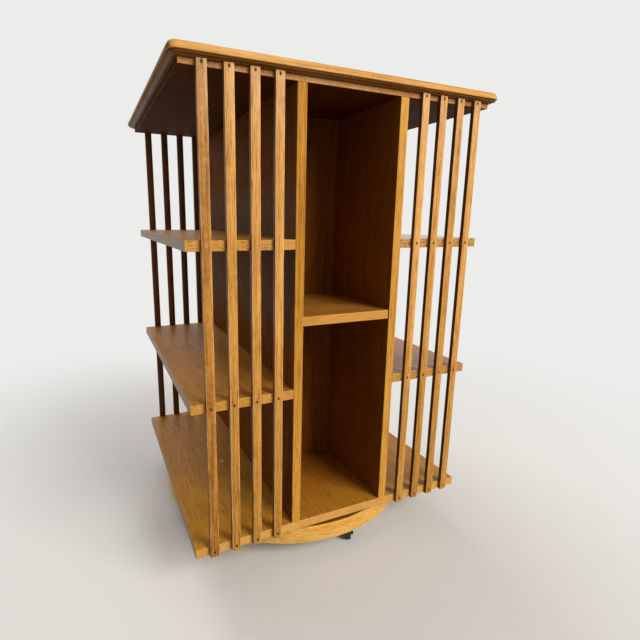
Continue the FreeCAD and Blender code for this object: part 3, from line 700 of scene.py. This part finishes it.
def bradPits(finish):
    # 1 in the dimple around each brad.
    x, y, z = finish.split(finish.place())
    sideways = acrossSlat(finish, x)
    nearest = abs(z - bradLevels[0])
    for level in bradLevels[1:]:
        nearest = nearest.math("MINIMUM", abs(z - level))
    upward = nearest * (bradShape["halfWidth"] / bradShape["halfHeight"])
    away = (sideways * sideways + upward * upward) ** 0.5
    return finish.smooth(away, bradShape["halfWidth"] * 0.9, bradShape["halfWidth"] * 2.3, 1.0, 0.0)


def leftUpperBrads(finish):
    # At the left upper shelf the brads get orange heads, and the pale ring round each is a painted glint.
    x, y, z = finish.split(finish.place())
    atShelf = finish.smooth(abs(z - bradLevels[2]), 10.0 * mm, 12.0 * mm, 1.0, 0.0)
    return atShelf * finish.smooth(x, -1.0 * mm, 1.0 * mm, 1.0, 0.0)


def paintedGlintRings(finish):
    return bradPits(finish) * leftUpperBrads(finish) * 0.7


def darkPits(finish):
    return bradPits(finish) * (1.0 - leftUpperBrads(finish))


def bradFinish():
    finish = Finish("bradIron")
    rust = finish.smooth(finish.noise(finish.place(), 700.0, 3.0), 0.40, 0.65)
    iron = finish.mix(rust, colour(0.014, 0.007, 0.004), colour(0.050, 0.026, 0.013))
    return finish.surface({
        "Base Color": finish.mix(leftUpperBrads(finish), iron, colour(0.30, 0.115, 0.024)),
        "Metallic": 0.05, "Roughness": 0.5 + rust * 0.2, "Specular IOR Level": 0.12,
        "Normal": finish.bump(rust, 0.05 * mm, 0.3),
    })


def paintedSlatShade(finish):
    # Painted shade on a slat's narrow sides and on its face towards the shelves.
    normal = finish.facing()
    place = finish.split(finish.place())
    inward = finish.smooth(place[1] * normal[1], -0.05, 0.05, 1.0, 0.0)
    return looking(finish, "X", 0.4).math("MAXIMUM", inward)


def paintedArrisHighlights(finish):
    # Painted highlights along the long arrises, in places.
    x, y, z = finish.split(finish.place())
    half = sizes["width"] / 2
    edge = finish.smooth(abs(acrossSlat(finish, x)), half - 1.3 * mm, half - 0.3 * mm)
    patchy = finish.noise(finish.join(x * 4, y, z), 22.0, 3.0)
    return edge * finish.smooth(patchy, 0.40, 0.62, 0.15, 0.75)


def slatTops(finish):
    # Just under the top the slats have faded.
    x, y, z = finish.split(finish.place())
    return finish.smooth(z, 0.66, sizes["base"] + sizes["length"], 0.0, 0.45)


def slatFeet(finish):
    # The lower ends have darkened.
    x, y, z = finish.split(finish.place())
    return finish.smooth(z + finish.noise(finish.place(), 12.0, 3.0) * 0.12, 0.22, 0.56, 0.66, 0.0)


slatFinish = oakFinish("oak_slats", {
    **oakDefaults, "grain": "Z", "heart": (0.04, -0.62), "seed": 13.3, "tone": "slat",
    "toneFrom": "slatTone", "toneSpread": 0.50, "dimples": darkPits, "grime": 0.22,
    "mottle": {"size": 9.0 * mm, "share": 0.26, "colour": colour(0.94, 0.530, 0.140)},
    "streaks": 0.80, "dashes": 0.85, "poreShade": 0.5, "roughness": 0.5, "shine": 0.25, "varnish": 0.10,
    "shadings": (
        {"where": slatTops, "colour": colour(0.74, 0.440, 0.190)},
        {"where": paintedGlintRings, "colour": colour(0.90, 0.620, 0.340)},
        {"where": slatFeet, "colour": colour(0.68, 0.63, 0.42), "blend": "MULTIPLY"},
        {"where": paintedArrisHighlights, "colour": colour(0.90, 0.600, 0.270)},
        {"where": paintedSlatShade, "colour": colour(0.22, 0.155, 0.12), "blend": "MULTIPLY"},
    ),
})
rowValues = {
    "Outermost": sizes["outermost"], "Pitch": sizes["pitch"], "Per side": sizes["perSide"],
}
slats = bakeTree("slats_wood", slatTree(slatFinish), {
    **rowValues, "Row": slatFace - slatShape["thick"] / 2, "Base": sizes["base"],
    "Width": sizes["width"], "Thickness": slatShape["thick"], "Length": sizes["length"],
    "Ease": slatShape["ease"], "Ease steps": slatShape["easeSteps"], "Tone seed": slatShape["toneSeed"],
}, slatFinish)
smoothByAngle(slats)
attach(slats, "bookcase")
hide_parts(*[f"{face}_slat_{number}" for face in ("front", "back") for number in range(1, 9)])

bradIron = bradFinish()
bradHeads = bakeTree("brad_heads", bradTree(bradIron), {
    **rowValues, "Row": slatFace - bradShape["sunk"], "Base": 0.0,
    "Half width": bradShape["halfWidth"], "Half height": bradShape["halfHeight"],
    "Dome": bradShape["dome"],
    **{f"Level {number}": level for number, level in enumerate(bradLevels, start=1)},
}, bradIron)
smoothByAngle(bradHeads, 60)
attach(bradHeads, "bookcase")
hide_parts("slat_brads")
print("slats and brads made")


# ---- the moulded top: its edge profile swept round the rounded square ----

topShape = {
    "cornerRadius": 14.0 * mm, "cornerSteps": 10,
    "bandHeight": 4.0 * mm, "bandFillet": 1.5 * mm, "bandInset": 2.2 * mm,
    "cavettoReach": 6.4 * mm, "cavettoRadius": 9.0 * mm,
    "grooveHeight": 1.0 * mm, "grooveDepth": 1.2 * mm, "noseHeight": 1.2 * mm,
    "ovoloReach": 3.4 * mm, "ovoloRise": 8.0 * mm, "quirkWidth": 0.8 * mm, "ease": 0.35 * mm,
}


def hollowArc(start, end, radius, steps=8):
    # An arc from one point to the other that sags into the wood between them.
    start, end = Vector(start), Vector(end)
    chord = end - start
    inwards = Vector((-chord.y, chord.x)).normalized()
    if inwards.y < 0:
        inwards = -inwards
    centre = (start + end) / 2 - inwards * math.sqrt(radius ** 2 - (chord.length / 2) ** 2)
    points = []
    for step in range(steps + 1):
        spoke = (start.lerp(end, step / steps) - centre).normalized()
        points.append(tuple(centre + spoke * radius))
    return points


def mouldingProfile():
    # (inset from the widest line, height above the underside), from the foot up to the top.
    shape = topShape
    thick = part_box("top_board")[1].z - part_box("top_board")[0].z
    foot = shape["bandInset"] + shape["cavettoReach"]
    hollowTop = shape["bandHeight"] - shape["bandFillet"]
    points = [(foot + 1.0 * mm, 0.0)]
    points += hollowArc((foot, 0.0), (shape["bandInset"], hollowTop), shape["cavettoRadius"])
    grooveTop = shape["bandHeight"] + shape["grooveHeight"]
    grooveBack = shape["bandInset"] + shape["grooveDepth"]
    points += [(grooveBack, shape["bandHeight"]), (grooveBack, grooveTop), (shape["ease"], grooveTop)]
    points.append((0.0, grooveTop + shape["ease"]))
    noseTop = grooveTop + shape["noseHeight"]
    for step in range(0, 9):  # the ovolo leans in as it rises
        share = step / 8
        points.append((shape["ovoloReach"] * share ** 2, noseTop + shape["ovoloRise"] * share))
    quirkBack = shape["ovoloReach"] + shape["quirkWidth"]
    points += [(quirkBack, noseTop + shape["ovoloRise"]), (quirkBack, thick - shape["ease"])]
    points += [(quirkBack + shape["ease"], thick), (quirkBack + 3.0 * mm, thick)]
    return points


def profileCurve(points):
    curve = bpy.data.curves.new("mouldingProfile", "CURVE")
    curve.dimensions = "3D"
    spline = curve.splines.new("POLY")
    spline.points.add(len(points) - 1)
    for point, (inset, height) in zip(spline.points, points):
        point.co = (-inset, -height, 0.0, 1.0)  # the sweep turns the profile half round
    return curve


def topTree(material):
    # The carrier's own curve is the profile; the outline, its corners and both flats are rules.
    graph, given = nodeTree("mouldedTop", {
        "Profile": "NodeSocketGeometry", "Half width": "NodeSocketFloat",
        "Corner radius": "NodeSocketFloat", "Corner steps": "NodeSocketInt",
        "Under": "NodeSocketFloat", "Over": "NodeSocketFloat",
        "Foot inset": "NodeSocketFloat", "Crown inset": "NodeSocketFloat",
    })

    def roundedSquare(inset):
        side = (given["Half width"] - inset) * 2.0
        square = graph.add("GeometryNodeCurvePrimitiveQuadrilateral", {"mode": "RECTANGLE"}, {
            "Width": side, "Height": side})
        return graph.add("GeometryNodeFilletCurve", {"mode": "POLY"}, {
            "Curve": square, "Radius": given["Corner radius"] - inset, "Count": given["Corner steps"]})

    def lifted(geometry, level):
        lift = graph.add("ShaderNodeCombineXYZ", {}, [0.0, 0.0, level])
        return graph.add("GeometryNodeTransform", {}, {"Geometry": geometry, "Translation": lift})

    def flat(inset, level):
        filled = graph.add("GeometryNodeFillCurve", {"mode": "NGONS"}, {"Curve": roundedSquare(inset)})
        return lifted(filled, level)

    outline = graph.add("GeometryNodeSetCurveNormal", {"mode": "Z_UP"}, {"Curve": roundedSquare(0.0)})
    swept = graph.add("GeometryNodeCurveToMesh", {}, {"Curve": outline, "Profile Curve": given["Profile"]})
    edge = lifted(swept, given["Under"])
    under = flat(given["Foot inset"], given["Under"])
    over = flat(given["Crown inset"], given["Over"])
    whole = graph.add("GeometryNodeMergeByDistance", {}, {
        "Geometry": joinAll(graph, [edge, under, over]), "Distance": 0.02 * mm})
    finishTree(graph, whole, material)
    return graph


def makeTop():
    low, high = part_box("top_board")
    profile = mouldingProfile()

    def underNose(finish):
        # painted shade in the band and the hollow under the nose
        x, y, z = finish.split(finish.place())
        arris = topShape["bandHeight"] + topShape["grooveHeight"]
        return finish.smooth(z - low.z, arris - 0.5 * mm, arris, 1.0, 0.0)

    look = {
        **oakDefaults, "grain": "X", "heart": (0.06, 1.16), "seed": 17.9, "tone": "top",
        "low": low, "high": high, "grime": 0.18, "roughness": 0.46, "shine": 0.12, "varnish": 0.05,
        "wearWidth": 1.5 * mm, "wear": 0.35, "streaks": 0.75, "dashes": 0.55,
        "shadings": (
            paintedEndShade, {"where": underNose, "colour": colour(0.30, 0.25, 0.25), "blend": "MULTIPLY"}),
    }
    finish = oakFinish("oak_top", look)
    piece = bakeTree("top_board_wood", topTree(finish), {
        "Half width": high.x, "Corner radius": topShape["cornerRadius"],
        "Corner steps": topShape["cornerSteps"], "Under": low.z, "Over": high.z,
        "Foot inset": profile[0][0], "Crown inset": profile[-1][0],
    }, finish, profileCurve(profile))
    work = bmesh.new()
    work.from_mesh(piece.data)
    bmesh.ops.recalc_face_normals(work, faces=work.faces)
    work.to_mesh(piece.data)
    work.free()
    smoothByAngle(piece, 28)
    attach(piece, "bookcase")
    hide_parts("top_board")


makeTop()
print("moulded top made")


# ---- turned pieces: the round base and the castors' wheels ----

def latheMesh(name, profile, segments, place, axis):
    # Turns (radius, distance along the axis) points into a closed solid of revolution.
    turnTo = Vector((0, 0, 1)).rotation_difference(axis).to_matrix().to_4x4()
    whole = Matrix.Translation(place) @ turnTo

    def build(work):
        rings = []
        for radius, along in profile:
            ring = []
            for step in range(segments):
                angle = 2 * math.pi * step / segments
                spot = Vector((radius * math.cos(angle), radius * math.sin(angle), along))
                ring.append(work.verts.new(whole @ spot))
            rings.append(ring)
        for index, ring in enumerate(rings):
            following = rings[(index + 1) % len(rings)]
            if index == len(rings) - 1 and profile[0][0] == 0:
                break
            for step in range(segments):
                after = (step + 1) % segments
                corners = [ring[step], ring[after], following[after], following[step]]
                work.faces.new(corners)

    return meshFrom(name, build)


def roundedCorner(radius, along, ease, outwards, steps=4):
    # The points of a quarter round that replaces the corner at (radius, along).
    points = []
    for step in range(steps + 1):
        turn = math.radians(90 * step / steps)
        drop = outwards * ease * (1 - math.cos(turn))
        points.append((radius - ease + ease * math.sin(turn), along - drop))
    return points


discShape = {"ease": 2.5 * mm, "segments": 240, "fleckHeight": 1.9 * mm, "fleckLength": 24.0 * mm}


def makeDisc():
    low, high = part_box("base_disc")
    radius = high.x
    lower = roundedCorner(radius, low.z, discShape["ease"], -1)
    upper = roundedCorner(radius, high.z, discShape["ease"], 1)[::-1]
    profile = [(0.0, low.z)] + lower + upper + [(0.0, high.z)]
    mesh = latheMesh("base_disc", profile, discShape["segments"], Vector((0, 0, 0)), Vector((0, 0, 1)))

    def rimFlecks(finish):
        x, y, z = finish.split(finish.place())
        flat = discShape["fleckHeight"] / discShape["fleckLength"]
        specks = finish.noise(finish.join(x * flat, y * flat, z), 1 / discShape["fleckHeight"], 3.0, 0.6)
        return finish.smooth(specks, 0.52, 0.66, 0.0, 0.85)

    def lowerArris(finish):
        # Painted highlight along the rounded lower arris.
        x, y, z = finish.split(finish.place())
        return finish.smooth(z - low.z, 2.0 * mm, 4.4 * mm, 0.8, 0.0)

    def paintedDiscTopShade(finish):
        # Painted shade on the disc's top just inside its rim, under the bottom board.
        x, y, z = finish.split(finish.place())
        inner = finish.smooth((x * x + y * y) ** 0.5, radius - 4.0 * mm, radius - 1.0 * mm, 1.0, 0.0)
        return inner * finish.smooth(z, high.z - 1.0 * mm, high.z - 0.2 * mm)

    look = {
        **oakDefaults, "grain": "X", "heart": (0.11, -0.20), "seed": 19.7, "tone": "rim", "lift": 0.08,
        "grime": 0.12, "streaks": 0.35, "dashes": 0.25, "roughness": 0.5, "shine": 0.25, "varnish": 0.10,
        "mottle": {"size": 18.0 * mm, "share": 0.45, "colour": colour(1.00, 0.700, 0.260)},
        "shadings": (
            {"where": rimFlecks, "colour": colour(0.62, 0.45, 0.28), "blend": "MULTIPLY"},
            {"where": lowerArris, "colour": colour(0.96, 0.740, 0.400)},
            {"where": paintedDiscTopShade, "colour": colour(0.20, 0.15, 0.12), "blend": "MULTIPLY"},
        ),
    }
    piece = newPiece("base_disc_wood", mesh, oakFinish("oak_base", look))
    smoothByAngle(piece, 40)
    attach(piece, "base")
    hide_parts("base_disc")


makeDisc()

wheelShape = {
    "hubHalf": 6.5 * mm, "hubRadius": 5.0 * mm, "webHalf": 3.0 * mm, "rimDepth": 3.5 * mm,
    "treadHalf": 5.5 * mm, "treadRound": 1.5 * mm, "bore": 2.56 * mm, "segments": 64,
    "boreEase": 0.3 * mm, "hubEase": 0.4 * mm, "webFillet": 0.5 * mm, "rimEase": 0.3 * mm,
}


def wheelProfile(radius):
    shape = wheelShape
    bore, hub, rim = shape["bore"], shape["hubRadius"], radius - shape["rimDepth"]
    hubHalf, webHalf, treadHalf = shape["hubHalf"], shape["webHalf"], shape["treadHalf"]
    half = [
        (bore, hubHalf - shape["boreEase"]), (bore + shape["boreEase"], hubHalf),
        (hub - shape["hubEase"], hubHalf), (hub, hubHalf - shape["hubEase"]),
        (hub, webHalf + shape["webFillet"]), (hub + shape["webFillet"], webHalf),
        (rim - shape["webFillet"], webHalf), (rim, webHalf + shape["webFillet"]),
        (rim, treadHalf - shape["rimEase"]), (rim + shape["rimEase"], treadHalf),
    ]
    for step in range(5):
        turn = math.radians(90 * step / 4)
        bend = shape["treadRound"]
        drop = bend * (1 - math.cos(turn))
        half.append((radius - bend + bend * math.sin(turn), treadHalf - drop))
    return half + [(spot, -along) for spot, along in reversed(half)]


castorSides = ("front", "right", "back", "left")
joints = {joint["name"]: joint for joint in frame["joints"]}


def refineHardware(node, body, material, ease):
    # A copy of the node with merged corners, smooth round faces and small bevels.
    mesh = frame["nodes"][node].data.copy()
    work = bmesh.new()
    work.from_mesh(mesh)
    bmesh.ops.remove_doubles(work, verts=work.verts, dist=1e-6)
    bmesh.ops.dissolve_limit(
        work, angle_limit=math.radians(1.0), verts=work.verts, edges=work.edges)
    work.to_mesh(mesh)
    work.free()
    piece = newPiece(f"{node}_metal", mesh, material)
    smoothByAngle(piece, 32)
    bevel(piece, ease, 2, 40)
    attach(piece, body)
    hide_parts(node)
    return piece


def makeCastor(side):
    joint = joints[f"castor_{side}_roll"]
    low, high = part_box(f"castor_wheel_{side}")
    radius = (high.z - low.z) / 2
    mesh = latheMesh(
        f"castor_wheel_{side}", wheelProfile(radius), wheelShape["segments"],
        Vector(joint["pos_m"]), Vector(joint["axis"]))
    wheel = newPiece(f"castor_wheel_{side}_tread", mesh, hardwareFinishes["wheelBlack"])
    smoothByAngle(wheel, 40)
    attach(wheel, f"castor_roll_{side}")
    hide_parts(f"castor_wheel_{side}")
    steel = hardwareFinishes["castorSteel"]
    refineHardware(f"castor_fork_{side}", f"castor_swivel_{side}", steel, 0.25 * mm)
    refineHardware(f"castor_axle_{side}", f"castor_swivel_{side}", steel, 0.3 * mm)
    refineHardware(f"castor_plate_{side}", "base", steel, 0.25 * mm)


for side in castorSides:
    makeCastor(side)
print("round base and castors made")


# ---- hidden hardware keeps its own shape and takes a finish ----

hiddenFinishes = {
    "groundSteel": ["spindle", "spindle_nut", "lower_race", "upper_race", "bearing_rollers"],
    "turnedBrass": ["lower_bush", "upper_bush", "roller_cage"],
    "japannedIron": ["spindle_flange"],
    "castorSteel": ["flange_screws", "race_screws"],
}
for finishName, nodes in hiddenFinishes.items():
    for node in nodes:
        frame["nodes"][node].data.materials.clear()
        frame["nodes"][node].data.materials.append(hardwareFinishes[finishName])
bridgeLow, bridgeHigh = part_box("bearing_bridge")
bridgeFinish = oakFinish("oak_bearing_bridge", {
    **oakDefaults, "seed": 23.1, "grain": "X", "low": bridgeLow, "high": bridgeHigh})
frame["nodes"]["bearing_bridge"].data.materials.clear()
frame["nodes"]["bearing_bridge"].data.materials.append(bridgeFinish)
print("finishes assigned")


# ---- stage, lights and camera ----

stageLook = {
    "floor": colour(0.84, 0.83, 0.81), "floorBounce": colour(0.34, 0.29, 0.22), "size": 24.0,
    "fadeFrom": 0.42, "fadeTo": 1.5,  # distances from the spindle over which it becomes the backdrop
}
lightLook = {
    "world": 0.26, "backdrop": 0.84,
    "key": {
        "place": (1.9, -3.9, 2.7), "size": 2.4, "power": 212.0, "tint": (1.0, 0.96, 0.90),
        "mirrored": True},
    "wall": {
        "place": (-0.6, 2.8, 1.9), "size": 2.4, "power": 74.0, "tint": (1.0, 0.99, 0.97),
        "mirrored": False},
    "aim": (0.0, 0.0, 0.42),
}


def seenDirectly(graph):
    # 1 where the camera, a reflection or glass looks at the surface, 0 for light that bounces.
    path = graph.add("ShaderNodeLightPath", output="Is Camera Ray")
    glossy = graph.sibling(path, "Is Glossy Ray")
    glass = graph.sibling(path, "Is Transmission Ray")
    return path.math("MAXIMUM", glossy).math("MAXIMUM", glass)


def makeFloor():
    floor = Finish("paleFloor")
    direct = seenDirectly(floor)
    mixed = floor.mix(direct, stageLook["floorBounce"], stageLook["floor"])
    matt = floor.add("ShaderNodeBsdfPrincipled", {}, {
        "Base Color": mixed, "Roughness": 0.8, "Specular IOR Level": 0.1})
    glow = floor.add("ShaderNodeEmission", {}, {
        "Color": colour(1.0, 1.0, 0.99), "Strength": lightLook["backdrop"]})
    away = floor.add("ShaderNodeVectorMath", {"operation": "LENGTH"}, [floor.place()], output="Value")
    fade = floor.smooth(away, stageLook["fadeFrom"], stageLook["fadeTo"]) * direct
    whole = floor.add("ShaderNodeMixShader", {}, [fade, matt, glow])
    floor.add("ShaderNodeOutputMaterial", {}, {"Surface": whole})
    half = stageLook["size"] / 2

    def build(work):
        corners = [(-half, -half, 0), (half, -half, 0), (half, half, 0), (-half, half, 0)]
        work.faces.new([work.verts.new(corner) for corner in corners])

    newPiece("floor", meshFrom("floor", build), floor.material)


def makeWorld():
    world = bpy.data.worlds.new("studio")
    bpy.context.scene.world = world
    world.use_nodes = True
    graph = Graph(world.node_tree)
    world.node_tree.nodes.clear()
    strength = graph.add("ShaderNodeMapRange", {}, [
        seenDirectly(graph), 0.0, 1.0, lightLook["world"], lightLook["backdrop"]])
    sky = graph.add("ShaderNodeBackground", {}, {"Color": colour(1.0, 1.0, 0.99), "Strength": strength})
    graph.add("ShaderNodeOutputWorld", {}, {"Surface": sky})


def makeLight(name):
    look = lightLook[name]
    light = bpy.data.lights.new(name, "AREA")
    light.shape = "SQUARE"
    light.size = look["size"]
    light.energy = look["power"]
    light.color = look["tint"]
    lamp = bpy.data.objects.new(name, light)
    lamp.location = look["place"]
    aim = Vector(lightLook["aim"]) - Vector(look["place"])
    lamp.rotation_euler = aim.to_track_quat("-Z", "Y").to_euler()
    lamp.visible_glossy = look["mirrored"]
    bpy.context.scene.collection.objects.link(lamp)


cameraLook = {
    "place": (-0.3709, -0.8546, 0.5901), "heading": 0.4276, "tilt": -0.2122, "roll": 0.0124,
    "focal": 448.99, "centre": (292.5, 315.0), "image": 640,  # the last three in pixels
}


def makeCamera():
    look = cameraLook
    heading, tilt, roll = look["heading"], look["tilt"], look["roll"]
    forward = Vector((
        math.sin(heading) * math.cos(tilt), math.cos(heading) * math.cos(tilt), math.sin(tilt)))
    level = forward.cross(Vector((0, 0, 1))).normalized()
    above = level.cross(forward)
    right = level * math.cos(roll) + above * math.sin(roll)
    up = above * math.cos(roll) - level * math.sin(roll)
    camera = bpy.data.cameras.new("camera")
    camera.sensor_width = 36.0
    camera.lens = look["focal"] / look["image"] * camera.sensor_width
    camera.shift_x = (look["image"] / 2 - look["centre"][0]) / look["image"]
    camera.shift_y = (look["centre"][1] - look["image"] / 2) / look["image"]
    camera.clip_start = 0.02
    viewer = bpy.data.objects.new("camera", camera)
    viewer.matrix_world = Matrix((
        (right.x, up.x, -forward.x, look["place"][0]),
        (right.y, up.y, -forward.y, look["place"][1]),
        (right.z, up.z, -forward.z, look["place"][2]),
        (0, 0, 0, 1)))
    bpy.context.scene.collection.objects.link(viewer)
    bpy.context.scene.camera = viewer


makeFloor()
makeWorld()
makeLight("key")
makeLight("wall")
makeCamera()
bpy.context.scene.view_settings.view_transform = "Standard"
print("stage, lights and camera set")
